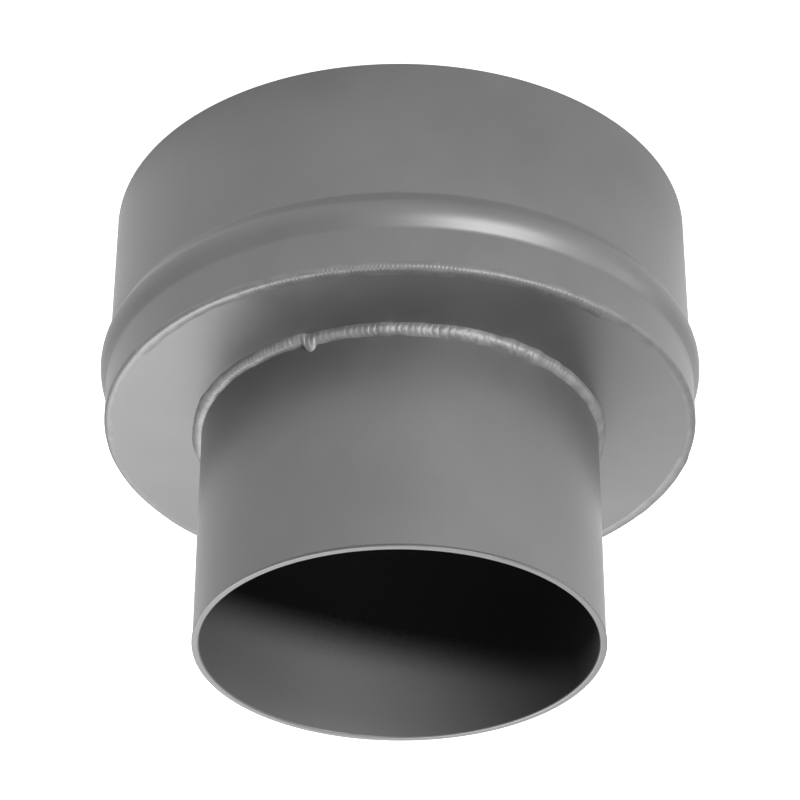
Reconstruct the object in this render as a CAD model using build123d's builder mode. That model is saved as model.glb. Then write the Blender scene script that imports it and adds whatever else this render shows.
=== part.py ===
"""Stove pipe extension: a welded enlarging piece between two round flue sizes.

A wide rolled tube with one rolled stop bead is closed by a flat ring plate, and a
narrow rolled tube stands in the middle of the plate. A corner weld joins the plate
to the wide tube and a fillet weld joins it to the narrow tube.

Frame: millimetres, +Z from the wide rim to the narrow rim, origin at the centre of
the wide rim, which is the face that the piece stands on.
"""

import os
from math import acos, atan2, cos, degrees, hypot, radians, sin, sqrt, tan

from build123d import *

# Flue sizes: inside diameters, and the sheet that both tubes are rolled from
WIDE_BORE = 180.0
NARROW_BORE = 120.0
WIDE_WALL = 2.0
NARROW_WALL = 2.0

# Lengths along the axis
STOP_DEPTH = 54.4  # wide rim to the middle of the stop bead
SHOULDER = 20.6  # middle of the stop bead to the ring plate's outer face
NARROW_LENGTH = 75.0  # ring plate's outer face to the narrow rim

# Ring plate, set inside the wide tube's end with the narrow tube set in its hole
PLATE_THICKNESS = 2.0
PLATE_FIT = 0.1  # gap left all round for the welds to close

# Stop bead, rolled outwards from the wide tube's wall: it rises smoothly from the rim's side,
# and a straight flank falls from it to a crease on the plate's side
BEAD_HEIGHT = 2.6  # crest above the tube's outside
BEAD_FORM_RADIUS = 3.0  # inside of the crest, the forming roll's nose
BEAD_BLEND_RADIUS = 9.6  # outside hollow where the wall turns into the bead
CREASE_REACH = 6.9  # middle of the bead to the crease
CREASE_RADIUS = 0.8  # outside hollow of the crease
BAND_SWELL = 0.4  # how far the wall between the crease and the plate stands out

# Corner weld, run in the step between the wide tube's end and the plate's face
SETBACK = 1.2  # how far the wide tube ends below the plate's outer face
CORNER_WELD_LAP = 0.6  # how far it reaches over the plate
CORNER_WELD_CROWN = 0.75  # height of its back above a straight line from toe to toe

# Fillet weld at the narrow tube's foot
FILLET_WELD_ON_PLATE = 2.5
FILLET_WELD_ON_TUBE = 2.8
FILLET_WELD_CROWN = 0.45

WELD_SHOULDER = 0.25  # share of a weld's width where its sloping shoulder ends

# Butt welds along the two rolled sheets, on the side away from the viewer
SEAM_WIDTH = 3.0
SEAM_CROWN = 0.2  # height above the tube's outside
WIDE_SEAM_AZIMUTH = 100.0  # degrees from +X
NARROW_SEAM_AZIMUTH = 76.0

# Rims
DEBURR = 0.3  # broken edge of the narrow rim's bore
LIP_HEIGHT = 1.0  # swollen edge that the cut left outside the narrow rim
LIP_SWELL = 0.25

# Sizes that follow
wide_inside = WIDE_BORE / 2
wide_outside = wide_inside + WIDE_WALL
narrow_inside = NARROW_BORE / 2
narrow_outside = narrow_inside + NARROW_WALL
band_inside = wide_inside + BAND_SWELL
band_outside = band_inside + WIDE_WALL
plate_face = STOP_DEPTH + SHOULDER
plate_back = plate_face - PLATE_THICKNESS
narrow_rim = plate_face + NARROW_LENGTH
wide_end = plate_face - SETBACK
fillet_weld_top = plate_face + FILLET_WELD_ON_TUBE

# Stop bead: the rise and the fall are the angles that its outside turns through from the axis
crest_radius = BEAD_FORM_RADIUS + WIDE_WALL
crest_centre = wide_outside + BEAD_HEIGHT - crest_radius
bead_arcs = crest_radius + BEAD_BLEND_RADIUS
rise_reach = sqrt(2 * BEAD_HEIGHT * bead_arcs - BEAD_HEIGHT**2)
bead_rise = acos((bead_arcs - BEAD_HEIGHT) / bead_arcs)
crease_offset = band_outside - crest_centre
bead_fall = atan2(CREASE_REACH, crease_offset) - acos(crest_radius / hypot(CREASE_REACH, crease_offset))


def half_plane(azimuth):
    """Plane through the tube's axis: local x runs outwards, local y along the axis."""
    turn = radians(azimuth)
    return Plane(origin=(0, 0, 0), x_dir=(cos(turn), sin(turn), 0), z_dir=(sin(turn), -cos(turn), 0))


def beaded_line():
    """Outside of the wide tube from its rim to its end, bulging at the stop bead."""
    foot = Line((wide_outside, 0), (wide_outside, STOP_DEPTH - rise_reach))
    rise = JernArc(foot @ 1, foot % 1, BEAD_BLEND_RADIUS, -degrees(bead_rise))
    crest = JernArc(rise @ 1, rise % 1, crest_radius, degrees(bead_rise + bead_fall))
    corner = Vector(band_outside, STOP_DEPTH + CREASE_REACH)
    flank = Line(crest @ 1, corner - (crest % 1) * CREASE_RADIUS * tan(bead_fall / 2))
    crease = JernArc(flank @ 1, flank % 1, CREASE_RADIUS, -degrees(bead_fall))
    Line(crease @ 1, (band_outside, wide_end))


def grooved_line():
    """Inside of the wide tube: the bead's back, a round groove with straight flanks."""
    depth = crest_centre + BEAD_FORM_RADIUS * cos(bead_rise) - wide_inside
    shoulder = BEAD_FORM_RADIUS * sin(bead_rise)
    mouth = STOP_DEPTH - shoulder - depth / tan(bead_rise)
    Line((wide_inside, 0), (wide_inside, mouth))
    flank = Line((wide_inside, mouth), (wide_inside + depth, STOP_DEPTH - shoulder))
    groove = JernArc(flank @ 1, flank % 1, BEAD_FORM_RADIUS, degrees(bead_rise + bead_fall))
    far_mouth = (groove @ 1).Y + ((groove @ 1).X - band_inside) / tan(bead_fall)
    Polyline(groove @ 1, (band_inside, far_mouth), (band_inside, wide_end))


def weld_back(start, end, crown):
    """Back of a weld from toe to toe: a flat between two sloping shoulders."""
    first = Vector(*start)
    chord = Vector(*end) - first
    lift = Vector(chord.Y, -chord.X).normalized() * crown
    shoulders = [first + chord * share + lift for share in (WELD_SHOULDER, 1 - WELD_SHOULDER)]
    Polyline(start, *shoulders, end)


def seam_plane(azimuth, radius, height):
    """Level plane on a tube's outside: local x runs round the tube, local y outwards."""
    beside = half_plane(azimuth)
    return Plane(origin=beside.from_local_coords((radius, height)), x_dir=beside.z_dir, z_dir=(0, 0, 1))


def seam_outline(wall):
    """Cross-section of a butt weld: as deep as the wall, with a low rounded back."""
    side = SEAM_WIDTH / 2
    Polyline((-side, 0), (-side, -wall), (side, -wall), (side, 0))
    ThreePointArc((side, 0), (0, SEAM_CROWN), (-side, 0))


# Wide tube: one rolled sheet, with the slot that its seam weld fills
with BuildPart() as wide_tube:
    with BuildSketch(Plane.XZ):
        with BuildLine():
            beaded_line()
            grooved_line()
            Line((wide_inside, 0), (wide_outside, 0))
            Line((band_inside, wide_end), (band_outside, wide_end))
        make_face()
    revolve(axis=Axis.Z)
    with BuildSketch(half_plane(WIDE_SEAM_AZIMUTH)):
        with Locations((wide_inside + BEAD_HEIGHT / 2, wide_end / 2)):
            Rectangle(2 * (WIDE_WALL + BEAD_HEIGHT), wide_end)
    extrude(amount=SEAM_WIDTH / 2, both=True, mode=Mode.SUBTRACT)

# Narrow tube: plain rolled sheet with a slightly swollen rim
with BuildPart() as narrow_tube:
    with BuildSketch(Plane.XZ):
        with BuildLine():
            Polyline(
                (narrow_outside, plate_back),
                (narrow_outside, narrow_rim - LIP_HEIGHT),
                (narrow_outside + LIP_SWELL, narrow_rim - LIP_HEIGHT / 2),
                (narrow_outside, narrow_rim),
                (narrow_inside + DEBURR, narrow_rim),
                (narrow_inside, narrow_rim - DEBURR),
                (narrow_inside, plate_back),
                close=True,
            )
        make_face()
    revolve(axis=Axis.Z)
    with BuildSketch(half_plane(NARROW_SEAM_AZIMUTH)):
        with Locations((narrow_inside + NARROW_WALL / 2, (fillet_weld_top + narrow_rim) / 2)):
            Rectangle(2 * NARROW_WALL, narrow_rim - fillet_weld_top)
    extrude(amount=SEAM_WIDTH / 2, both=True, mode=Mode.SUBTRACT)

# Ring plate: one flat blank
with BuildPart() as ring_plate:
    with BuildSketch(Plane.XY.offset(plate_back)):
        Circle(band_inside - PLATE_FIT)
        Circle(narrow_outside + PLATE_FIT, mode=Mode.SUBTRACT)
    extrude(amount=PLATE_THICKNESS)

# Corner weld: fills the step at the wide tube's end and laps over the plate's edge
with BuildPart() as corner_weld:
    with BuildSketch(Plane.XZ):
        with BuildLine():
            plate_edge = band_inside - PLATE_FIT
            lower_toe = (band_outside, wide_end)
            upper_toe = (plate_edge - CORNER_WELD_LAP, plate_face)
            Polyline(lower_toe, (plate_edge, wide_end), (plate_edge, plate_face), upper_toe)
            weld_back(lower_toe, upper_toe, CORNER_WELD_CROWN)
        make_face()
    revolve(axis=Axis.Z)

# Fillet weld: sits in the corner between the plate and the narrow tube
with BuildPart() as fillet_weld:
    with BuildSketch(Plane.XZ):
        with BuildLine():
            plate_toe = (narrow_outside + FILLET_WELD_ON_PLATE, plate_face)
            tube_toe = (narrow_outside, fillet_weld_top)
            Polyline(tube_toe, (narrow_outside, plate_face), plate_toe)
            weld_back(plate_toe, tube_toe, FILLET_WELD_CROWN)
        make_face()
    revolve(axis=Axis.Z)


# Wide seam weld: follows the wall's outside over the stop bead
with BuildLine() as wide_run:
    beaded_line()
wide_path = half_plane(WIDE_SEAM_AZIMUTH) * wide_run.wire()
with BuildPart() as wide_seam_weld:
    with BuildSketch(seam_plane(WIDE_SEAM_AZIMUTH, wide_outside, 0)):
        with BuildLine():
            seam_outline(WIDE_WALL)
        make_face()
    sweep(path=wide_path)

# Narrow seam weld: straight, from the fillet weld's top to the rim
with BuildPart() as narrow_seam_weld:
    with BuildSketch(seam_plane(NARROW_SEAM_AZIMUTH, narrow_outside, fillet_weld_top)):
        with BuildLine():
            seam_outline(NARROW_WALL)
        make_face()
    extrude(amount=narrow_rim - fillet_weld_top)

pieces = {
    "wide_tube": wide_tube,
    "narrow_tube": narrow_tube,
    "ring_plate": ring_plate,
    "corner_weld": corner_weld,
    "fillet_weld": fillet_weld,
    "wide_seam_weld": wide_seam_weld,
    "narrow_seam_weld": narrow_seam_weld,
}

os.makedirs("parts", exist_ok=True)
for name, piece in pieces.items():
    piece.part.label = name
    export_step(piece.part, f"parts/{name}.step")
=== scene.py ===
"""Looks of the stove pipe extension: smooth rolled tubes, a flat ring plate and rippled welds under grey paint.

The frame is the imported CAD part, in metres: +Z runs from the wide rim to the narrow rim, and the piece stands
on its wide rim at the origin. The tubes and the plate are turned sections with true arcs, and each weld is a
run of metal whose ripples a Geometry Nodes tree raises.
"""

import logging
import math
from dataclasses import dataclass, replace
from enum import Enum
from typing import Callable, ClassVar

import bpy
import numpy as np
from mathutils import Matrix, Vector


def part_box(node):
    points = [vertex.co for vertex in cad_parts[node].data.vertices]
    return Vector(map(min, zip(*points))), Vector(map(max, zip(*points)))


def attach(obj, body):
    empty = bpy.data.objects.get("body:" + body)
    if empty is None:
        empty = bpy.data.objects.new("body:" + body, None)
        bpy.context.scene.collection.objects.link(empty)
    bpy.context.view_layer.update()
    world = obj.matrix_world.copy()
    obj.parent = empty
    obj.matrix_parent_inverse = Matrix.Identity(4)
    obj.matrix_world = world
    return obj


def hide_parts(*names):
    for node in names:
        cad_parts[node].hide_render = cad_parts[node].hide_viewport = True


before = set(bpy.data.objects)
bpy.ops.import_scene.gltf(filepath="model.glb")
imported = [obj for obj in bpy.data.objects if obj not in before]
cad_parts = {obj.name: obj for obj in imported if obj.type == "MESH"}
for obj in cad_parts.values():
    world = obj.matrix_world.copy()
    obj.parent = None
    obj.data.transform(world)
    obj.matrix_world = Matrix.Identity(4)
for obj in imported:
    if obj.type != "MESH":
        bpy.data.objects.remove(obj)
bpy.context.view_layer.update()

log = logging.getLogger("stove_pipe_extension")

MM = 0.001

# Sizes that the solids are made from and that no box of theirs shows
WIDE_OUTSIDE, WIDE_INSIDE = 92 * MM, 90 * MM
NARROW_OUTSIDE, NARROW_INSIDE = 62 * MM, 60 * MM
PLATE_HOLE = 62.1 * MM
WIDE_SEAM_AZIMUTH = 100.0
NARROW_SEAM_AZIMUTH = 76.0

# Nearly all values of a noise texture lie between these
NOISE_LOW, NOISE_HIGH = 0.3, 0.7

Run = tuple[np.ndarray, np.ndarray]
Socket = bpy.types.NodeSocket


class Slot(Enum):
    """Material slots of the record."""

    PAINT = "flue_paint"
    WELD = "painted_weld"


# Colours and nodes


def linear(code: str) -> tuple[float, float, float, float]:
    """Turns an sRGB colour into the linear one that shaders take.

    Args:
        code: six hex digits after a hash sign.

    Returns:
        Linear red, green and blue, and an alpha of 1.
    """
    shares = [int(code[place : place + 2], 16) / 255 for place in (1, 3, 5)]
    red, green, blue = [s / 12.92 if s <= 0.04045 else ((s + 0.055) / 1.055) ** 2.4 for s in shares]
    return red, green, blue, 1.0


def add_node(
    tree: bpy.types.NodeTree, kind: str, links: dict[str | int, object] | None = None, **settings: object
) -> bpy.types.Node:
    """Adds a node to a tree with its settings and its inputs.

    Args:
        tree: the shader or geometry tree.
        kind: the node's class name.
        links: for each input, by name or number, the socket that feeds it or its plain value.
        settings: properties of the node.

    Returns:
        The new node.
    """
    node = tree.nodes.new(kind)
    for key, value in settings.items():
        setattr(node, key, value)
    for key, value in (links or {}).items():
        socket = node.inputs[key]
        if isinstance(value, bpy.types.NodeSocket):
            tree.links.new(value, socket)
        else:
            socket.default_value = value
    return node


def reckon(tree: bpy.types.NodeTree, operation: str, *values: Socket | float) -> Socket:
    """Adds one step of arithmetic.

    Args:
        tree: the shader or geometry tree.
        operation: the Math node's operation.
        values: sockets or plain numbers, in the order of the node's inputs.

    Returns:
        The socket that holds the result.
    """
    return add_node(tree, "ShaderNodeMath", dict(enumerate(values)), operation=operation).outputs[0]


def noise(tree: bpy.types.NodeTree, place: Socket, size_mm: float, detail: float) -> Socket:
    """Adds a noise pattern.

    Args:
        tree: the shader tree.
        place: coordinates in metres.
        size_mm: how far across its grains are, in millimetres.
        detail: how many finer layers lie over them.

    Returns:
        The pattern's strength.
    """
    links = {"Vector": place, "Scale": 1 / (size_mm * MM), "Detail": detail}
    return add_node(tree, "ShaderNodeTexNoise", links).outputs["Fac"]


def ranged(
    tree: bpy.types.NodeTree,
    value: Socket,
    old: tuple[float, float],
    new: tuple[float, float | Socket] = (0.0, 1.0),
    kind: str = "LINEAR",
) -> Socket:
    """Adds a node that stretches one range of values to another and holds what lies beyond its ends.

    Args:
        tree: the shader tree.
        value: what is stretched.
        old: two ends of its range.
        new: what they become.
        kind: how the values between them run.

    Returns:
        The new value.
    """
    links = {"Value": value, "From Min": old[0], "From Max": old[1], "To Min": new[0], "To Max": new[1]}
    return add_node(tree, "ShaderNodeMapRange", links, interpolation_type=kind).outputs["Result"]


def mixed(tree: bpy.types.NodeTree, share: Socket, first: str, second: str) -> Socket:
    """Adds a node that mixes two sRGB colours by a share, 0 for the first and 1 for the second."""
    links = {0: share, 6: linear(first), 7: linear(second)}
    return add_node(tree, "ShaderNodeMix", links, data_type="RGBA").outputs[2]


def bumped(tree: bpy.types.NodeTree, height: Socket, height_mm: float, below: Socket | None = None) -> Socket:
    """Adds a node that shades a pattern as if it stood up from the surface.

    Args:
        tree: the shader tree.
        height: the pattern.
        height_mm: how far it stands up, in millimetres.
        below: shading of a coarser pattern that it lies on.

    Returns:
        The bent normal.
    """
    links = {"Strength": 1.0, "Distance": height_mm * MM, "Height": height}
    if below is not None:
        links["Normal"] = below
    return add_node(tree, "ShaderNodeBump", links).outputs["Normal"]


def new_material(name: str) -> tuple[bpy.types.Material, bpy.types.Node, Socket]:
    """Makes a material with an empty finish.

    Args:
        name: the real material's name.

    Returns:
        The material, its surface shader and the socket of the piece's own coordinates.
    """
    material = bpy.data.materials.new(name)
    material.use_nodes = True
    tree = material.node_tree
    return material, tree.nodes["Principled BSDF"], add_node(tree, "ShaderNodeTexCoord").outputs["Object"]


# Finishes


@dataclass(frozen=True)
class StovePaint:
    """Silicone stove paint in cast grey, sprayed on sheet steel and baked.

    It gives the eye a satin grey whose highlights are soft and broad, since its metal flake lies flat, over a
    faint orange peel and the slow waves of rolled sheet. The real flake's grit is too fine to show, so it is
    drawn coarser.
    """

    name: str
    light: str = "#7b7b7b"
    dark: str = "#737373"
    roughness: float = 0.4
    flake: float = 0.5
    cloud_mm: float = 26.0
    grit_mm: float = 0.45
    grit_share: float = 0.35
    dark_below: float = 0.45
    light_above: float = 0.95
    gloss_spread: float = 0.03
    peel_mm: float = 1.6
    peel_height_mm: float = 0.006
    wave_mm: float = 45.0
    wave_height_mm: float = 0.10

    def build(self) -> bpy.types.Material:
        """Makes the material.

        Returns:
            A new material with its own node tree.
        """
        material, shader, place = new_material(self.name)
        tree = material.node_tree
        cloud = noise(tree, place, self.cloud_mm, 3.0)
        grit = noise(tree, place, self.grit_mm, 1.0)
        tone = reckon(tree, "MULTIPLY_ADD", grit, self.grit_share, cloud)
        share = ranged(tree, tone, (self.dark_below, self.light_above))
        gloss = (self.roughness - self.gloss_spread, self.roughness + self.gloss_spread)
        wave = noise(tree, place, self.wave_mm, 0.0)
        wave_bump = bumped(tree, wave, self.wave_height_mm)
        peel = noise(tree, place, self.peel_mm, 1.5)
        peel_bump = bumped(tree, peel, self.peel_height_mm, wave_bump)
        shader.inputs["Metallic"].default_value = self.flake
        tree.links.new(mixed(tree, share, self.dark, self.light), shader.inputs["Base Color"])
        tree.links.new(ranged(tree, cloud, (NOISE_LOW, NOISE_HIGH), gloss), shader.inputs["Roughness"])
        tree.links.new(peel_bump, shader.inputs["Normal"])
        return material


@dataclass(frozen=True)
class OversprayAndShadeBore:
    """Bore of hot-rolled steel: dark mill scale, under a thin grey overspray that fades inwards from the rim.

    It gives the eye a dusty grey mouth over a near-black depth, which is partly dark scale and partly painted shade
    for the shade deep in the bore. The grey reaches deepest and lies thickest on the lit side, and its edge runs
    slanting round the bore as a painted shadow edge where the rim's shadow falls; the thin side is painted shade.
    Its flecks are drawn coarser than real ones, so that they show. A fade below 0 runs up from a rim that lies at
    the bottom.
    """

    name: str
    rim: float
    fade: float
    radius: float
    # Painted shadow edge and painted shade: the lit side, where the grey reaches deepest and lies thickest
    lit_side: float = 65.0
    least_reach: float = 0.15
    soft_share: float = 0.28
    shaded_side_share: float = 0.3
    fully_lit_from: float = 50 * MM
    # Near black: mill scale darkened with painted shade
    scale: str = "#080808"
    overspray: str = "#868686"
    flake: float = 0.6
    roughness: float = 0.58
    specular: float = 0.2
    fleck_mm: float = 0.9
    fleck_share: float = 0.2
    fleck_height_mm: float = 0.03
    bare_below: float = 0.15
    grey_above: float = 1.1

    def build(self) -> bpy.types.Material:
        """Makes the material.

        Returns:
            A new material with its own node tree.
        """
        material, shader, place = new_material(self.name)
        tree = material.node_tree
        height = add_node(tree, "ShaderNodeSeparateXYZ", {0: place}).outputs["Z"]
        fleck = noise(tree, place, self.fleck_mm, 3.0)
        # Painted shadow edge: the grey reaches deeper towards the lit side, so its edge slants round the bore like
        # the rim's shadow
        way = (math.cos(math.radians(self.lit_side)), math.sin(math.radians(self.lit_side)), 0.0)
        dot = add_node(tree, "ShaderNodeVectorMath", {0: place, 1: way}, operation="DOT_PRODUCT")
        towards = dot.outputs["Value"]
        reach = ranged(tree, towards, (0.0, self.radius), (self.least_reach * self.fade, self.fade))
        level = reckon(tree, "ADD", height, reach)
        blur = self.soft_share * self.fade
        # Painted shade: the grey fades to near black deeper in, where shade falls in the bore
        near = ranged(tree, level, (self.rim - blur, self.rim + blur), kind="SMOOTHSTEP")
        # Painted shade: the grey thins away from the lit side
        lit_share = ranged(tree, towards, (0.0, self.fully_lit_from), (self.shaded_side_share, 1.0))
        dusted = reckon(tree, "MULTIPLY_ADD", fleck, self.fleck_share, near)
        share = ranged(tree, dusted, (self.bare_below, self.grey_above), (0.0, lit_share))
        shader.inputs["Roughness"].default_value = self.roughness
        shader.inputs["Specular IOR Level"].default_value = self.specular
        tree.links.new(reckon(tree, "MULTIPLY", share, self.flake), shader.inputs["Metallic"])
        # The colour runs from near black, partly mill scale and partly painted shade, to the grey mouth
        tree.links.new(mixed(tree, share, self.scale, self.overspray), shader.inputs["Base Color"])
        tree.links.new(bumped(tree, fleck, self.fleck_height_mm), shader.inputs["Normal"])
        return material


# Meshes


def placed(name: str, data: bpy.types.ID) -> bpy.types.Object:
    """Puts a mesh, a lamp or a camera into the scene, standing at the origin."""
    thing = bpy.data.objects.new(name, data)
    bpy.context.scene.collection.objects.link(thing)
    return thing


def quads(stations: int, count: int, closed: bool = True) -> np.ndarray:
    """Lists the faces between rings of points.

    Args:
        stations: how many rings there are.
        count: how many points lie round each.
        closed: whether the last ring joins the first.

    Returns:
        The numbers of each face's four points, ring by ring.
    """
    here = np.arange(stations if closed else stations - 1)[:, None]
    there = (here + 1) % stations
    low = np.arange(count)[None, :]
    high = (low + 1) % count
    corners = [here * count + low, there * count + low, there * count + high, here * count + high]
    return np.stack(corners, axis=2).reshape(-1, 4)


# Turned sections


def straight(start: tuple[float, float], end: tuple[float, float]) -> Run:
    """Straight run of a section, with the metal on its left.

    Args:
        start: radius and height of its first point.
        end: radius and height of its last point.

    Returns:
        The points, and the outward normal at each.
    """
    points = np.array([start, end])
    along = points[1] - points[0]
    normal = np.array([along[1], -along[0]]) / np.linalg.norm(along)
    return points, np.array([normal, normal])


def arc(centre: tuple[float, float], radius: float, first: float, last: float, divisions: int) -> Run:
    """Round run of a section, with the metal on its left.

    Args:
        centre: radius and height of the arc's centre.
        radius: the arc's own radius.
        first: angle at which it starts, in degrees.
        last: angle at which it ends; beyond first it runs anticlockwise.
        divisions: how many chords stand for it.

    Returns:
        The points, and the outward normal at each.
    """
    angles = np.radians(np.linspace(first, last, divisions + 1))
    rays = np.column_stack([np.cos(angles), np.sin(angles)])
    return np.array(centre) + radius * rays, rays if last > first else -rays


def on_circle(centre: tuple[float, float], radius: float, lean: float) -> tuple[float, float]:
    """Finds the point of a circle where the wall leans by so many degrees.

    Args:
        centre: radius and height of the circle's centre.
        radius: the circle's own radius, below 0 for the side that faces the axis.
        lean: the wall's lean from the axis, in degrees.

    Returns:
        Radius and height of the point.
    """
    angle = math.radians(lean)
    return centre[0] + radius * math.cos(angle), centre[1] + radius * math.sin(angle)


def turned(name: str, runs: list[Run], bore: slice = slice(0), segments: int = 360) -> bpy.types.Object:
    """Turns a closed section about the axis into a mesh that shades by the section's own normals.

    Args:
        name: name of the piece.
        runs: the section's runs in order, each starting where the last one ends, in metres.
        bore: which runs take the second material.
        segments: how many flats go round.

    Returns:
        The piece, standing at the origin.
    """
    points = np.concatenate([run[0][:-1] for run in runs])
    count = len(points)
    starts = np.concatenate([run[1][:-1] for run in runs])
    ends = np.concatenate([run[1][1:] for run in runs])
    turns = 2 * np.pi * np.arange(segments) / segments
    cosines, sines = np.cos(turns)[:, None], np.sin(turns)[:, None]
    vertices = np.stack([points[:, 0] * cosines, points[:, 0] * sines, points[:, 1] + 0 * cosines], axis=2)
    faces = quads(segments, count)

    def spun(normals: np.ndarray, shift: int) -> np.ndarray:
        """Turns the section's normals to each flat's first or second edge."""
        cos, sin = np.roll(cosines, -shift, axis=0), np.roll(sines, -shift, axis=0)
        return np.stack([normals[:, 0] * cos, normals[:, 0] * sin, normals[:, 1] + 0 * cos], axis=2)

    corners = np.stack([spun(starts, 0), spun(starts, 1), spun(ends, 1), spun(ends, 0)], axis=2)
    mesh = bpy.data.meshes.new(name)
    mesh.from_pydata(vertices.reshape(-1, 3).tolist(), [], faces.tolist())
    mesh.polygons.foreach_set("use_smooth", np.ones(len(faces), dtype=bool))
    inner = np.zeros(len(runs), dtype=int)
    inner[bore] = 1
    lengths = [len(run[0]) - 1 for run in runs]
    mesh.polygons.foreach_set("material_index", np.tile(np.repeat(inner, lengths), segments))
    mesh.normals_split_custom_set(corners.reshape(-1, 3).tolist())
    mesh.update()
    return placed(name, mesh)


def dressed(piece: bpy.types.Object, slot: Slot, node: str, *materials: bpy.types.Material) -> None:
    """Gives a piece its materials and tells the frame what it stands for.

    Args:
        piece: the finished mesh object.
        slot: the record's material slot.
        node: the CAD node that it replaces.
        materials: what its mesh lacks, in the order of its faces' numbers.
    """
    for material in materials:
        piece.data.materials.append(material)
    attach(piece, "root")
    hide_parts(node)
    log.info("%s: %d faces, stands for %s", piece.name, len(piece.data.polygons), node)


class TurnedPiece:
    """What the tubes and the plate share: a turned mesh with paint where it shows and scale behind."""

    node: ClassVar[str]

    def build(self) -> bpy.types.Object:
        """Makes the mesh; each kind of piece does so in its own way."""
        raise NotImplementedError

    # Behind the paint, the bore's finish is mill scale with painted shade
    def dress(self, paint: bpy.types.Material, bore: bpy.types.Material) -> None:
        """Builds the piece and gives it its two finishes."""
        dressed(self.build(), Slot.PAINT, self.node, paint, bore)


@dataclass
class WideTube(TurnedPiece):
    """The wide rolled tube with its stop bead, a sheet of one thickness that bulges outwards.

    The bead springs up from a tight foot on the rim's side. Its crest is rounder towards the plate, where a
    hollow crease ends it, and behind the crease a band of wall stands a little further out.
    """

    node: ClassVar[str] = "wide_tube"
    outside: float
    end: float
    wall: float = 2.0 * MM
    bead_place: float = 54.4 * MM
    bead_height: float = 2.6 * MM
    rise: float = 28.0
    fall: float = 26.5
    rise_crest: float = 5.0 * MM
    fall_crest: float = 9.0 * MM
    foot_hollow: float = 2.5 * MM
    crease_hollow: float = 3.0 * MM
    swell: float = 0.4 * MM
    melt: float = 0.4 * MM
    edge: float = 0.25 * MM

    def hollow_place(self, wall_outside: float, crest: float, hollow: float, lean: float) -> float:
        """Works out how far from the bead's middle a hollow lies whose flank touches the crest.

        Args:
            wall_outside: radius of the wall that the hollow runs into.
            crest: the crest arc's own radius.
            hollow: the hollow's own radius.
            lean: how far the flank leans from the axis, in degrees.

        Returns:
            The distance along the axis.
        """
        angle = math.radians(lean)
        drop = wall_outside + hollow + crest - self.outside - self.bead_height
        return (crest + hollow - drop * math.cos(angle)) / math.sin(angle)

    def section(self) -> list[Run]:
        """Lists the runs of the section, up the outside and down the inside.

        The last value of each arc is how many chords stand for it.

        Returns:
            Runs with the metal on their left.
        """
        inside = self.outside - self.wall
        band, band_inside = self.outside + self.swell, inside + self.swell
        top = self.outside + self.bead_height
        foot = self.bead_place - self.hollow_place(self.outside, self.rise_crest, self.foot_hollow, self.rise)
        corner = self.bead_place + self.hollow_place(band, self.fall_crest, self.crease_hollow, self.fall)
        rise_hub = (top - self.rise_crest, self.bead_place)
        fall_hub = (top - self.fall_crest, self.bead_place)
        rise_hinge = (self.outside + self.foot_hollow, foot)
        fall_hinge = (band + self.crease_hollow, corner)
        edge, wall = self.edge, self.wall
        rise, fall = self.rise, self.fall
        rise_crest, fall_crest = self.rise_crest, self.fall_crest
        foot_hollow, crease_hollow = self.foot_hollow, self.crease_hollow
        return [
            arc((self.outside - edge, edge), edge, -90, 0, 4),
            straight((self.outside, edge), (self.outside, foot)),
            arc(rise_hinge, foot_hollow, 180, 180 - rise, 8),
            straight(on_circle(rise_hinge, -foot_hollow, -rise), on_circle(rise_hub, rise_crest, -rise)),
            arc(rise_hub, rise_crest, -rise, 0, 10),
            arc(fall_hub, fall_crest, 0, fall, 14),
            straight(on_circle(fall_hub, fall_crest, fall), on_circle(fall_hinge, -crease_hollow, fall)),
            arc(fall_hinge, crease_hollow, 180 + fall, 180, 8),
            straight((band, corner), (band, self.end - self.melt)),
            straight((band, self.end - self.melt), (band - self.melt, self.end)),
            straight((band - self.melt, self.end), (band_inside, self.end)),
            straight((band_inside, self.end), (band_inside, corner)),
            arc(fall_hinge, crease_hollow + wall, 180, 180 + fall, 6),
            straight(
                on_circle(fall_hinge, -crease_hollow - wall, fall), on_circle(fall_hub, fall_crest - wall, fall)
            ),
            arc(fall_hub, fall_crest - wall, fall, 0, 8),
            arc(rise_hub, rise_crest - wall, 0, -rise, 6),
            straight(
                on_circle(rise_hub, rise_crest - wall, -rise), on_circle(rise_hinge, -foot_hollow - wall, -rise)
            ),
            arc(rise_hinge, foot_hollow + wall, 180 - rise, 180, 6),
            straight((inside, foot), (inside, edge)),
            arc((inside + edge, edge), edge, 180, 270, 4),
            straight((inside + edge, 0.0), (self.outside - edge, 0.0)),
        ]

    def outer_line(self) -> Run:
        """Joins the outside's runs, from the wide rim to the tube's end.

        Returns:
            The points of the line, and the outward normal at each.
        """
        band = self.outside + self.swell
        runs = self.section()[1:9] + [straight((band, self.end - self.melt), (band, self.end))]
        return np.concatenate([run[0] for run in runs]), np.concatenate([run[1] for run in runs])

    def build(self) -> bpy.types.Object:
        """Turns the section into the tube, whose runs 11 to 18 are its bore."""
        return turned("wide_tube_sheet", self.section(), slice(11, 19))


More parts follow.
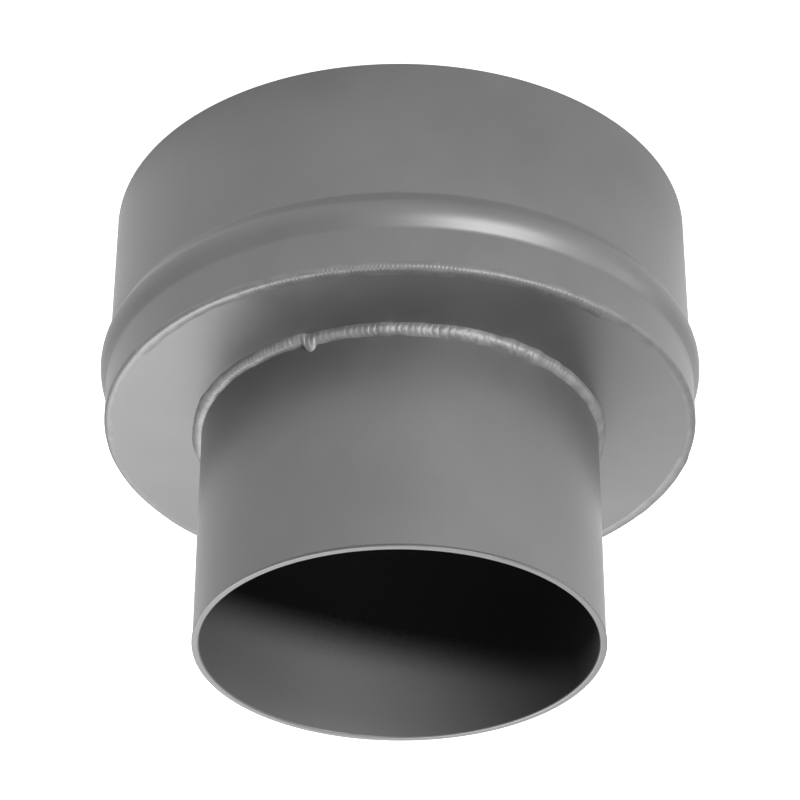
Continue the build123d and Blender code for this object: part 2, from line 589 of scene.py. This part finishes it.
@dataclass
class NarrowTube(TurnedPiece):
    """The narrow rolled tube, cut square, with the rim's outer edge left a little swollen by the cut."""

    node: ClassVar[str] = "narrow_tube"
    outside: float
    foot: float
    rim: float
    wall: float = 2.0 * MM
    lip_height: float = 1.0 * MM
    lip_swell: float = 0.25 * MM
    outer_edge: float = 0.3 * MM
    edge: float = 0.6 * MM
    seam_start: float = 4.0 * MM
    seam_stop: float = 0.15 * MM

    def section(self) -> list[Run]:
        """Lists the runs of the section, up the outside and down the inside.

        Returns:
            Runs with the metal on their left.
        """
        inside = self.outside - self.wall
        lip = self.outside + self.lip_swell
        low = self.rim - self.lip_height
        mid = self.rim - self.lip_height / 2
        edge, outer_edge = self.edge, self.outer_edge
        return [
            straight((self.outside, self.foot), (self.outside, low)),
            straight((self.outside, low), (lip, mid)),
            arc((lip - outer_edge, self.rim - outer_edge), outer_edge, 0, 90, 6),
            straight((lip - outer_edge, self.rim), (inside + edge, self.rim)),
            arc((inside + edge, self.rim - edge), edge, 90, 180, 5),
            straight((inside, self.rim - edge), (inside, self.foot)),
            straight((inside, self.foot), (self.outside, self.foot)),
        ]

    def outer_line(self) -> Run:
        """Gives the outside's line, from under the fillet weld up to the swollen lip."""
        return straight((self.outside, self.foot + self.seam_start), (self.outside, self.rim - self.seam_stop))

    def build(self) -> bpy.types.Object:
        """Turns the section into the tube, whose run 5 is its bore."""
        return turned("narrow_tube_sheet", self.section(), slice(5, 6))


@dataclass
class RingPlate(TurnedPiece):
    """The flat ring blank between the tubes."""

    node: ClassVar[str] = "ring_plate"
    inside: float
    outside: float
    back: float
    face: float

    def build(self) -> bpy.types.Object:
        """Turns the plate's four corners, the last run being its back.

        Returns:
            The plate, standing at the origin.
        """
        corners = [
            (self.outside, self.back),
            (self.outside, self.face),
            (self.inside, self.face),
            (self.inside, self.back),
        ]
        section = [straight(here, there) for here, there in zip(corners, corners[1:] + corners[:1])]
        return turned("ring_plate_blank", section, slice(3, 4))


# Welds


@dataclass(frozen=True)
class Pass:
    """One pass of the torch round a joint, from its start up to the next pass.

    Lengths are in millimetres: the leg along each of the two surfaces, how far the back bows out, and the
    spacing and height of the ripples.
    """

    start: float
    first_leg: float
    second_leg: float
    crown: float
    pitch: float
    ripple: float


@dataclass(frozen=True)
class Blob:
    """A spot where the weld metal heaped up: its angle, its half length and what it adds, in millimetres."""

    angle: float
    reach: float
    first_leg: float = 0.0
    second_leg: float = 0.0
    crown: float = 0.0


class Corner(Enum):
    """Whether a weld fills a corner from inside or lies round an outer edge."""

    INNER = 1
    OUTER = -1


def wandering(rng: np.random.Generator, count: int, knots: int) -> np.ndarray:
    """Smooth closed random line, for what a hand doesn't hold steady.

    Args:
        rng: seeded source of random numbers.
        count: how many values go round.
        knots: how many free values lie under them.

    Returns:
        Values of about -1 to 1, the last of which joins the first.
    """
    free = rng.uniform(-1, 1, knots)
    place = np.arange(count) * knots / count
    low = place.astype(int)
    share = place - low
    ease = share * share * (3 - 2 * share)
    return free[low % knots] * (1 - ease) + free[(low + 1) % knots] * ease


def ribbed(
    name: str, rings: np.ndarray, closed: bool, toes: tuple[int, int], facts: dict[str, np.ndarray]
) -> bpy.types.Object:
    """Makes a weld's base mesh from its cross-sections, with the facts that its ripples follow.

    Args:
        name: name of the piece.
        rings: the sections' points, as stations by points by three, in metres.
        closed: whether the last section joins the first; otherwise both ends are capped.
        toes: which points of a section are the toes, where the shading breaks.
        facts: one value for each point, by attribute name.

    Returns:
        The base piece, standing at the origin.
    """
    stations, count = rings.shape[:2]
    faces = quads(stations, count, closed).tolist()
    if not closed:
        last = (stations - 1) * count
        faces += [list(range(count)), list(range(last + count - 1, last - 1, -1))]
    mesh = bpy.data.meshes.new(name)
    mesh.from_pydata(rings.reshape(-1, 3).tolist(), [], faces)
    mesh.polygons.foreach_set("use_smooth", np.ones(len(mesh.polygons), dtype=bool))
    pairs = np.empty(2 * len(mesh.edges), dtype=np.int32)
    mesh.edges.foreach_get("vertices", pairs)
    first, second = pairs.reshape(-1, 2).T % count
    broken = (first == second) & np.isin(first, toes)
    mesh.attributes.new("sharp_edge", "BOOLEAN", "EDGE").data.foreach_set("value", broken)
    for label, values in facts.items():
        mesh.attributes.new(label, "FLOAT", "POINT").data.foreach_set("value", values.astype(np.float32).ravel())
    mesh.update()
    return placed(name, mesh)


class RippleTree:
    """Geometry Nodes tree that raises the ripples on a weld's back.

    It reads three facts of each point: ripple_count, how many ripples lie before it; across, from -1 at one toe
    to 1 at the other; and ripple_height, in metres and 0 on the side that the metal hides. Bow is by how many
    ripples a ripple's ends lag behind its middle, Wander is how far its place strays, and each ripple is
    between Least and Most times as high as it should be.
    """

    FACTS = ("ripple_count", "across", "ripple_height")
    # The tree's number inputs with their values; sizes and the grain's height are in metres
    INPUTS = (
        ("Bow", 0.5),
        ("Wander", 0.9),
        ("Wander Size", 0.004),
        ("Least", 0.35),
        ("Most", 1.4),
        ("Grain Height", 0.00006),
        ("Grain Size", 0.0011),
    )
    # Below 1, each ripple rises steeply and falls slowly
    LEAN = 0.7
    # A ripple's middle stands this share of its height above the back, and its valleys lie below the back
    DOME = 0.4

    def __init__(self) -> None:
        """Builds the tree."""
        self.tree = bpy.data.node_groups.new("weld ripples", "GeometryNodeTree")
        tree = self.tree
        face = tree.interface
        face.new_socket("Geometry", in_out="INPUT", socket_type="NodeSocketGeometry")
        for label, value in self.INPUTS:
            face.new_socket(label, in_out="INPUT", socket_type="NodeSocketFloat").default_value = value
        face.new_socket("Seed", in_out="INPUT", socket_type="NodeSocketInt")
        face.new_socket("Material", in_out="INPUT", socket_type="NodeSocketMaterial")
        face.new_socket("Geometry", in_out="OUTPUT", socket_type="NodeSocketGeometry")
        given = add_node(tree, "NodeGroupInput").outputs
        count, across, height = (
            add_node(tree, "GeometryNodeInputNamedAttribute", {"Name": label}, data_type="FLOAT").outputs["Attribute"]
            for label in self.FACTS
        )
        square = reckon(tree, "MULTIPLY", across, across)
        bowed = reckon(tree, "MULTIPLY_ADD", square, given["Bow"], count)
        scale = reckon(tree, "DIVIDE", 1.0, given["Wander Size"])
        patch = add_node(tree, "ShaderNodeTexNoise", {"Scale": scale, "Detail": 1.0}).outputs["Fac"]
        stray = reckon(tree, "SUBTRACT", patch, 0.5)
        phase = reckon(tree, "MULTIPLY_ADD", stray, given["Wander"], bowed)
        share = reckon(tree, "FRACT", phase)
        leaning = reckon(tree, "POWER", share, self.LEAN)
        centred = reckon(tree, "MULTIPLY_ADD", leaning, 2.0, -1.0)
        dome = reckon(tree, "SUBTRACT", self.DOME, reckon(tree, "MULTIPLY", centred, centred))
        number = add_node(
            tree,
            "FunctionNodeRandomValue",
            {"ID": reckon(tree, "FLOOR", phase), "Seed": given["Seed"]},
            data_type="FLOAT",
        )
        tree.links.new(given["Least"], number.inputs[2])
        tree.links.new(given["Most"], number.inputs[3])
        room = reckon(tree, "SUBTRACT", 1.0, square)
        ribs = reckon(tree, "MULTIPLY", reckon(tree, "MULTIPLY", dome, height), number.outputs[1])
        fine = reckon(tree, "DIVIDE", 1.0, given["Grain Size"])
        grain = add_node(tree, "ShaderNodeTexNoise", {"Scale": fine, "Detail": 2.0}).outputs["Fac"]
        rough = reckon(tree, "MULTIPLY_ADD", reckon(tree, "SUBTRACT", grain, 0.5), given["Grain Height"], ribs)
        raised = reckon(tree, "MULTIPLY", rough, room)
        normal = add_node(tree, "GeometryNodeInputNormal").outputs["Normal"]
        lift = add_node(tree, "ShaderNodeVectorMath", {0: normal, "Scale": raised}, operation="SCALE")
        moved = add_node(
            tree, "GeometryNodeSetPosition", {"Geometry": given["Geometry"], "Offset": lift.outputs[0]}
        )
        real = add_node(tree, "GeometryNodeRealizeInstances", {0: moved.outputs[0]})
        painted = add_node(
            tree, "GeometryNodeSetMaterial", {"Geometry": real.outputs[0], "Material": given["Material"]}
        )
        add_node(tree, "NodeGroupOutput", {0: painted.outputs[0]})

    def raised(self, piece: bpy.types.Object, material: bpy.types.Material, **inputs: object) -> bpy.types.Object:
        """Runs the tree on a base piece and keeps the result as a plain mesh.

        Args:
            piece: the base piece, whose mesh is replaced.
            material: the finish that the tree sets.
            inputs: values for the tree's inputs, with underscores for spaces.

        Returns:
            The same object with its ripples raised and no modifier.
        """
        modifier = piece.modifiers.new("ripples", "NODES")
        modifier.node_group = self.tree
        wanted = {label.replace("_", " "): value for label, value in inputs.items()}
        wanted["Material"] = material
        for item in self.tree.interface.items_tree:
            if item.item_type == "SOCKET" and item.in_out == "INPUT" and item.name in wanted:
                modifier[item.identifier] = wanted[item.name]
        shown = piece.evaluated_get(bpy.context.evaluated_depsgraph_get())
        mesh = bpy.data.meshes.new_from_object(shown)
        piece.modifiers.clear()
        base = piece.data
        piece.data = mesh
        bpy.data.meshes.remove(base)
        mesh.name = piece.name
        for label in self.FACTS:
            mesh.attributes.remove(mesh.attributes[label])
        return piece


class Weld:
    """What every weld shares: a back with ripples, under one coat."""

    node: str
    seed: int
    bow: float

    def build(self) -> bpy.types.Object:
        """Makes the base piece, still without ripples; each kind of weld does so in its own way."""
        raise NotImplementedError

    def dress(self, tree: RippleTree, finish: bpy.types.Material) -> None:
        """Builds the weld, raises its ripples and coats it."""
        piece = tree.raised(self.build(), finish, Seed=self.seed, Bow=self.bow)
        dressed(piece, Slot.WELD, self.node)


@dataclass
class RoundWeld(Weld):
    """A weld that runs all the way round, where a tube meets the ring plate."""

    name: str
    node: str
    radius: float
    height: float
    kind: Corner
    first_way: tuple[float, float]
    second_way: tuple[float, float]
    passes: tuple[Pass, ...]
    blobs: tuple[Blob, ...]
    seed: int
    stations: int = 2880
    back_points: int = 13
    bow: float = 0.5
    feather: float = 0.3 * MM
    tuck: float = 0.025 * MM
    sink: float = 0.35 * MM
    inner_bury: float = 0.6 * MM
    outer_bury: float = 1.4 * MM
    leg_wander: float = 0.07
    crown_wander: float = 0.16
    slow_knots: int = 37
    quick_knots: int = 110
    heap_roundness: float = 0.6
    blend_degrees: float = 1.6

    def along(self, angles: np.ndarray, pick: Callable[[Pass], float]) -> np.ndarray:
        """Spreads one value of the passes round the ring, with a short change from pass to pass.

        Args:
            angles: the stations' angles in degrees, from 0 to 360.
            pick: takes the value from a pass.

        Returns:
            One value for each station.
        """
        ordered = sorted(self.passes, key=lambda one: one.start % 360)
        starts = [one.start % 360 for one in ordered]
        levels = np.array([pick(one) for one in ordered])
        index = np.searchsorted(starts, angles, side="right") - 1
        stepped = levels[index % len(levels)]
        width = max(3, int(round(len(angles) * self.blend_degrees / 360)))
        window = np.hanning(2 * width + 1)
        padded = np.concatenate([stepped[-width:], stepped, stepped[:width]])
        return np.convolve(padded, window / window.sum(), mode="valid")

    def unsteady(self, angles: np.ndarray) -> tuple[np.ndarray, np.ndarray, np.ndarray]:
        """Works out the weld's size round the ring, with the hand's unsteadiness and the heaped spots.

        Args:
            angles: the stations' angles in degrees, from 0 to 360.

        Returns:
            The leg along each of the two surfaces and the crown, in millimetres, for each station.
        """
        rng = np.random.default_rng(self.seed)
        first = self.along(angles, lambda one: one.first_leg)
        second = self.along(angles, lambda one: one.second_leg)
        crown = self.along(angles, lambda one: one.crown)
        for values, share in ((first, self.leg_wander), (second, self.leg_wander), (crown, self.crown_wander)):
            quick = share * wandering(rng, self.stations, self.quick_knots)
            slow = share * wandering(rng, self.stations, self.slow_knots)
            values *= 1 + quick + slow
        for blob in self.blobs:
            off = (angles - blob.angle + 180) % 360 - 180
            inside = np.clip(1 - (np.radians(off) * self.radius / MM / blob.reach) ** 2, 0, 1)
            swell = inside**self.heap_roundness
            first += blob.first_leg * swell
            second += blob.second_leg * swell
            crown += blob.crown * swell
        return first, second, crown

    def sections(self, first: np.ndarray, second: np.ndarray, crown: np.ndarray) -> np.ndarray:
        """Draws the weld's cross-section at each station: a bowed back, tucked toes and a buried underside.

        Args:
            first: the leg along the first surface, in millimetres.
            second: the leg along the second surface, in millimetres.
            crown: how far the back bows out, in millimetres.

        Returns:
            Radius and height of each point, as stations by points by two, in metres.
        """
        first_way, second_way = np.array(self.first_way), np.array(self.second_way)
        root = np.array([self.radius, self.height])
        share = np.linspace(0, 1, self.back_points)[None, :, None]
        first_toe = root + first[:, None] * MM * first_way
        second_toe = root + second[:, None] * MM * second_way
        chord = second_toe - first_toe
        outward = np.column_stack([chord[:, 1], -chord[:, 0]]) / np.linalg.norm(chord, axis=1)[:, None]
        # The back bends towards a peak: above the middle of an inner corner, or off the edge of an outer one
        peak = (first_toe + second_toe) / 2 + 2 * crown[:, None] * MM * outward
        if self.kind is Corner.OUTER:
            peak = root - crown[:, None] * MM * (first_way + second_way)
        back = first_toe[:, None] * (1 - share) ** 2 + second_toe[:, None] * share**2
        back = back + 2 * peak[:, None] * share * (1 - share)
        side = self.kind.value
        first_edge = first_toe + self.feather * first_way - side * self.tuck * second_way
        second_edge = second_toe + self.feather * second_way - side * self.tuck * first_way
        first_sunk = first_edge - side * self.sink * second_way
        second_sunk = second_edge - side * self.sink * first_way
        hidden = root - (first_way + second_way) * self.inner_bury
        if self.kind is Corner.OUTER:
            hidden = root + (first_way + second_way) * self.outer_bury
        under = np.broadcast_to(hidden, first_toe.shape)
        ends = [first_sunk[:, None], first_edge[:, None], back, second_edge[:, None], second_sunk[:, None]]
        return np.concatenate(ends + [under[:, None]], axis=1)

    def build(self) -> bpy.types.Object:
        """Lays the weld's sections round the ring.

        Returns:
            The base piece, still without ripples.
        """
        angles = np.arange(self.stations) * 360 / self.stations
        sections = self.sections(*self.unsteady(angles))
        ripple = self.along(angles, lambda one: one.ripple)
        pitch = self.along(angles, lambda one: one.pitch)
        step = 2 * np.pi * self.radius / MM / self.stations
        ripples = np.cumsum(step / pitch)
        turns = np.radians(angles)[:, None]
        rings = np.stack(
            [sections[:, :, 0] * np.cos(turns), sections[:, :, 0] * np.sin(turns), sections[:, :, 1]], axis=2
        )
        count = sections.shape[1]
        spread = np.zeros((self.stations, count))
        spread[:, 2 : 2 + self.back_points] = np.linspace(-1, 1, self.back_points)
        shown = np.zeros(count)
        shown[2 : 2 + self.back_points] = 1.0
        facts = {
            "ripple_count": np.repeat(ripples[:, None], count, axis=1),
            "across": spread,
            "ripple_height": ripple[:, None] * MM * shown,
        }
        return ribbed(self.name, rings, True, (2, 1 + self.back_points), facts)


@dataclass
class SeamWeld(Weld):
    """A butt weld that runs up a rolled tube, as deep as the wall and with a low rippled back."""

    name: str
    node: str
    azimuth: float
    path: Run
    seed: int
    width: float = 3.0 * MM
    wall: float = 2.0 * MM
    crown: float = 0.2 * MM
    root_sink: float = 0.03 * MM
    pitch: float = 1.3 * MM
    ripple: float = 0.05 * MM
    bow: float = 0.7
    step: float = 0.2 * MM
    back_points: int = 9
    toe_tuck: float = 0.02 * MM
    width_wander: float = 0.06
    marks_per_knot: int = 18

    def build(self) -> bpy.types.Object:
        """Lays the weld's sections up the tube.

        Returns:
            The base piece, still without ripples.
        """
        points, normals = self.path
        lengths = np.concatenate([[0.0], np.cumsum(np.linalg.norm(np.diff(points, axis=0), axis=1))])
        marks = np.linspace(0, lengths[-1], int(lengths[-1] / self.step) + 1)
        line = np.column_stack([np.interp(marks, lengths, points[:, axis]) for axis in (0, 1)])
        away = np.column_stack([np.interp(marks, lengths, normals[:, axis]) for axis in (0, 1)])
        away /= np.linalg.norm(away, axis=1)[:, None]
        rng = np.random.default_rng(self.seed)
        knots = max(4, len(marks) // self.marks_per_knot)
        half = self.width / 2 * (1 + self.width_wander * wandering(rng, len(marks), knots))
        share = np.linspace(-1, 1, self.back_points)
        middle, root = -self.wall / 2, self.root_sink - self.wall
        # Behind the back, the section narrows through the wall to its root
        across = np.concatenate([share, [0.8, 0.5, 0.0, -0.5, -0.8]])
        depth = np.concatenate(
            [self.crown * (1 - share**2) - self.toe_tuck, [middle, root, root, root, middle]]
        )
        turn = math.radians(self.azimuth)
        out, beside = np.array([math.cos(turn), math.sin(turn)]), np.array([math.sin(turn), -math.cos(turn)])
        radius = line[:, :1] + away[:, :1] * depth
        level = np.maximum(line[:, 1:] + away[:, 1:] * depth, 0.0)
        sideways = half[:, None] * across
        rings = np.stack(
            [radius * out[0] + sideways * beside[0], radius * out[1] + sideways * beside[1], level], axis=2
        )
        count = len(across)
        shown = np.zeros(count)
        shown[1 : self.back_points - 1] = 1.0
        facts = {
            "ripple_count": np.repeat((marks / self.pitch)[:, None], count, axis=1),
            "across": np.broadcast_to(np.clip(across, -1, 1), (len(marks), count)),
            "ripple_height": np.broadcast_to(self.ripple * shown, (len(marks), count)),
        }
        return ribbed(self.name, rings, False, (0, self.back_points - 1), facts)


# What the torch left, by angle from +X: the photograph shows -180 to 0


FILLET_PASSES = (
    Pass(start=0, first_leg=3.0, second_leg=2.6, crown=0.8, pitch=1.4, ripple=0.18),
    Pass(start=78, first_leg=2.3, second_leg=2.9, crown=0.75, pitch=1.7, ripple=0.12),
    Pass(start=176, first_leg=2.2, second_leg=3.0, crown=0.8, pitch=1.6, ripple=0.12),
    Pass(start=-133, first_leg=2.2, second_leg=3.3, crown=0.85, pitch=2.6, ripple=0.26),
    Pass(start=-101, first_leg=2.0, second_leg=3.3, crown=0.8, pitch=1.8, ripple=0.16),
    Pass(start=-64, first_leg=2.8, second_leg=2.5, crown=0.8, pitch=1.5, ripple=0.2),
)
FILLET_BLOBS = (
    Blob(angle=-64.5, reach=2.1, second_leg=2.2, crown=-0.1),
    Blob(angle=-86, reach=2.4, first_leg=0.2, second_leg=0.3, crown=0.15),
    Blob(angle=-112, reach=1.3, second_leg=0.3, crown=0.15),
    Blob(angle=-121, reach=2.6, first_leg=0.3, second_leg=0.3, crown=0.15),
    Blob(angle=-129.5, reach=2.6, first_leg=0.3, second_leg=0.5, crown=0.2),
    Blob(angle=-58, reach=1.6, first_leg=0.3, crown=0.1),
    Blob(angle=76, reach=3.0, first_leg=0.4, second_leg=0.5, crown=0.3),
    Blob(angle=172, reach=2.8, second_leg=0.5, crown=0.2),
)
CORNER_PASSES = (
    Pass(start=0, first_leg=1.8, second_leg=2.8, crown=0.4, pitch=1.5, ripple=0.04),
    Pass(start=96, first_leg=2.1, second_leg=3.6, crown=1.0, pitch=1.8, ripple=0.1),
    Pass(start=172, first_leg=1.7, second_leg=2.6, crown=0.22, pitch=2.4, ripple=0.0),
    Pass(start=-132, first_leg=2.0, second_leg=4.0, crown=1.3, pitch=1.5, ripple=0.12),
    Pass(start=-121, first_leg=2.0, second_leg=4.0, crown=1.45, pitch=1.2, ripple=0.16),
    Pass(start=-84, first_leg=1.9, second_leg=3.7, crown=1.25, pitch=1.3, ripple=0.15),
    Pass(start=-58, first_leg=1.8, second_leg=3.1, crown=0.8, pitch=1.6, ripple=0.06),
    Pass(start=-31, first_leg=1.7, second_leg=2.6, crown=0.25, pitch=2.0, ripple=0.0),
)
CORNER_BLOBS = (
    Blob(angle=-118.5, reach=1.8, second_leg=0.3, crown=0.15),
    Blob(angle=-108, reach=2.2, first_leg=0.2, crown=0.1),
    Blob(angle=-60, reach=1.4, second_leg=-0.5, crown=-0.2),
    Blob(angle=-72, reach=1.6, second_leg=-0.3, crown=-0.15),
    Blob(angle=-76, reach=2.0, second_leg=0.3, crown=0.1),
    Blob(angle=98, reach=3.0, first_leg=0.3, second_leg=0.4, crown=0.2),
)


# Studio


@dataclass(frozen=True)
class Lamp:
    """A soft oblong lamp aimed at the piece: its place in degrees, its size in metres and its power."""

    name: str
    azimuth: float
    elevation: float
    width: float
    height: float
    watts: float
    distance: float = 1.6
    aim_height: float = 0.07

    def build(self) -> None:
        """Hangs the lamp at its place, facing the middle of the piece."""
        turn, rise = math.radians(self.azimuth), math.radians(self.elevation)
        ray = Vector((math.cos(turn) * math.cos(rise), math.sin(turn) * math.cos(rise), math.sin(rise)))
        light = bpy.data.lights.new(self.name, "AREA")
        light.shape = "RECTANGLE"
        light.size = self.width
        light.size_y = self.height
        light.energy = self.watts
        lamp = placed(self.name, light)
        lamp.matrix_world = Matrix.Translation(ray * self.distance + Vector((0, 0, self.aim_height))) @ (
            ray.to_track_quat("Z", "Y").to_matrix().to_4x4()
        )


@dataclass
class Studio:
    """A pale floor, a white backdrop, soft lamps and the camera of the photograph."""

    floor_size: float = 6.0
    floor_colour: str = "#e6e6e6"
    floor_seen: float = 0.95
    floor_gloss: float = 0.52
    sky_gloss: float = 1.0
    camera_place: tuple[float, float, float] = (0.0, -0.7838, 0.5627)
    camera_tilt: float = 32.607
    camera_roll: float = 180.149
    lens: float = 132.60
    lamps: tuple[Lamp, ...] = (
        Lamp("key_lamp", 239, 18, 1.1, 0.22, 12.5),
        Lamp("low_lamp", 238, 3, 1.0, 0.2, 4),
        Lamp("front_lamp", 225, 42, 0.6, 0.6, 5),
        Lamp("high_back_lamp", 56, 58, 1.0, 1.0, 21),
        Lamp("back_lamp", 84, 32, 1.2, 0.8, 3),
        Lamp("side_lamp", 186, 6, 0.4, 0.3, 1.5),
    )

    def lay_floor(self) -> None:
        """Lays the floor: it reads as white to the camera and still takes the piece's shadow."""
        half = self.floor_size / 2
        mesh = bpy.data.meshes.new("floor")
        mesh.from_pydata([(-half, -half, 0), (half, -half, 0), (half, half, 0), (-half, half, 0)], [], [(0, 1, 2, 3)])
        material = bpy.data.materials.new("pale studio floor")
        material.use_nodes = True
        tree = material.node_tree
        tree.nodes.clear()
        matt = add_node(tree, "ShaderNodeBsdfDiffuse", {"Color": linear(self.floor_colour)})
        strength = self.looked_at(tree, self.floor_seen, self.floor_gloss)
        glow = add_node(tree, "ShaderNodeEmission", {"Color": (1, 1, 1, 1), "Strength": strength})
        both = add_node(tree, "ShaderNodeAddShader", {0: matt.outputs[0], 1: glow.outputs[0]})
        add_node(tree, "ShaderNodeOutputMaterial", {"Surface": both.outputs[0]})
        mesh.materials.append(material)
        placed("floor", mesh)

    @staticmethod
    def looked_at(tree: bpy.types.NodeTree, straight_on: float, in_gloss: float) -> Socket:
        """Adds nodes that give one strength where the camera looks straight on and another in a gloss.

        Args:
            tree: the shader tree.
            straight_on: strength for the camera's own rays.
            in_gloss: strength for rays that a glossy surface sends on.

        Returns:
            The strength, 0 for all light that falls on the piece.
        """
        rays = add_node(tree, "ShaderNodeLightPath").outputs
        gloss = reckon(tree, "MULTIPLY", rays["Is Glossy Ray"], in_gloss)
        return reckon(tree, "MULTIPLY_ADD", rays["Is Camera Ray"], straight_on, gloss)

    def light(self) -> None:
        """Sets the white surroundings and hangs the lamps."""
        world = bpy.data.worlds.new("studio")
        bpy.context.scene.world = world
        world.use_nodes = True
        tree = world.node_tree
        tree.nodes.clear()
        strength = self.looked_at(tree, 1.0, self.sky_gloss)
        white = add_node(tree, "ShaderNodeBackground", {"Color": (1, 1, 1, 1), "Strength": strength})
        add_node(tree, "ShaderNodeOutputWorld", {"Surface": white.outputs[0]})
        for lamp in self.lamps:
            lamp.build()

    def set_camera(self) -> None:
        """Sets the camera at the photograph's viewing angle."""
        data = bpy.data.cameras.new("camera")
        data.lens = self.lens
        data.sensor_width = 36.0
        data.clip_start = 0.01
        camera = placed("camera", data)
        tilt = Matrix.Rotation(math.radians(90 - self.camera_tilt), 4, "X")
        roll = Matrix.Rotation(math.radians(self.camera_roll), 4, "Z")
        camera.matrix_world = Matrix.Translation(self.camera_place) @ tilt @ roll
        bpy.context.scene.camera = camera

    def build(self) -> None:
        """Makes the whole studio."""
        self.lay_floor()
        self.light()
        self.set_camera()
        bpy.context.scene.view_settings.view_transform = "Standard"


# Coats of the one paint; the weld coats are lightened as painted highlight


SHEET_PAINT = StovePaint("satin cast-grey stove paint")
# Over a low weld it reads duller and grainier than on the sheet beside it, and a little lighter as painted highlight
HIGHLIT_LOW_WELD_COAT = StovePaint(
    "stove paint over low welds, lightened as painted highlight",
    light="#8a8a8a",
    dark="#787878",
    roughness=0.5,
    cloud_mm=5,
    peel_mm=0.5,
    peel_height_mm=0.03,
    wave_height_mm=0.02,
)
# Over the high weld it is clearly lighter still, as painted highlight on the weld's back
HIGHLIT_WELD_COAT = replace(
    HIGHLIT_LOW_WELD_COAT, name="stove paint over weld metal, lightened as painted highlight", light="#a2a2a2", dark="#858585", flake=0.4
)


def main() -> None:
    """Builds the tubes and the plate, the welds between them, then the studio."""
    logging.basicConfig(level=logging.INFO, format="%(name)s %(message)s")
    paint = SHEET_PAINT.build()
    highlit_weld_coat = HIGHLIT_WELD_COAT.build()
    highlit_low_weld_coat = HIGHLIT_LOW_WELD_COAT.build()
    plate_low, plate_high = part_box("ring_plate")
    narrow_low, narrow_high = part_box("narrow_tube")
    wide = WideTube(outside=WIDE_OUTSIDE, end=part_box("wide_tube")[1][2])
    narrow = NarrowTube(outside=NARROW_OUTSIDE, foot=narrow_low[2], rim=narrow_high[2])
    # The bores' finishes carry painted shade deep inside and a painted shadow edge near the rim
    wide_scale_and_shade = OversprayAndShadeBore("mill scale and painted shade in the wide bore", rim=0.0, fade=-30 * MM, radius=WIDE_INSIDE)
    wide_bore = wide_scale_and_shade.build()
    narrow_scale_and_shade = OversprayAndShadeBore(
        "mill scale and painted shade in the narrow bore", rim=narrow.rim, fade=35 * MM, radius=NARROW_INSIDE
    )
    narrow_bore = narrow_scale_and_shade.build()
    wide.dress(paint, wide_bore)
    narrow.dress(paint, narrow_bore)
    plate = RingPlate(inside=PLATE_HOLE, outside=plate_high[0], back=plate_low[2], face=plate_high[2])
    plate.dress(paint, wide_bore)
    ripples = RippleTree()
    RoundWeld(
        "fillet_weld_bead",
        "fillet_weld",
        radius=narrow.outside,
        height=plate_high[2],
        kind=Corner.INNER,
        first_way=(1, 0),
        second_way=(0, 1),
        passes=FILLET_PASSES,
        blobs=FILLET_BLOBS,
        seed=7,
    ).dress(ripples, highlit_weld_coat)
    RoundWeld(
        "corner_weld_bead",
        "corner_weld",
        radius=wide.outside + wide.swell,
        height=plate_high[2],
        kind=Corner.OUTER,
        first_way=(0, -1),
        second_way=(-1, 0),
        passes=CORNER_PASSES,
        blobs=CORNER_BLOBS,
        seed=19,
    ).dress(ripples, highlit_low_weld_coat)
    for name, node, azimuth, path, seed in (
        ("wide_seam_bead", "wide_seam_weld", WIDE_SEAM_AZIMUTH, wide.outer_line(), 3),
        ("narrow_seam_bead", "narrow_seam_weld", NARROW_SEAM_AZIMUTH, narrow.outer_line(), 5),
    ):
        SeamWeld(name, node, azimuth, path, seed=seed).dress(ripples, highlit_low_weld_coat)
    Studio().build()


if __name__ == "__main__":
    main()
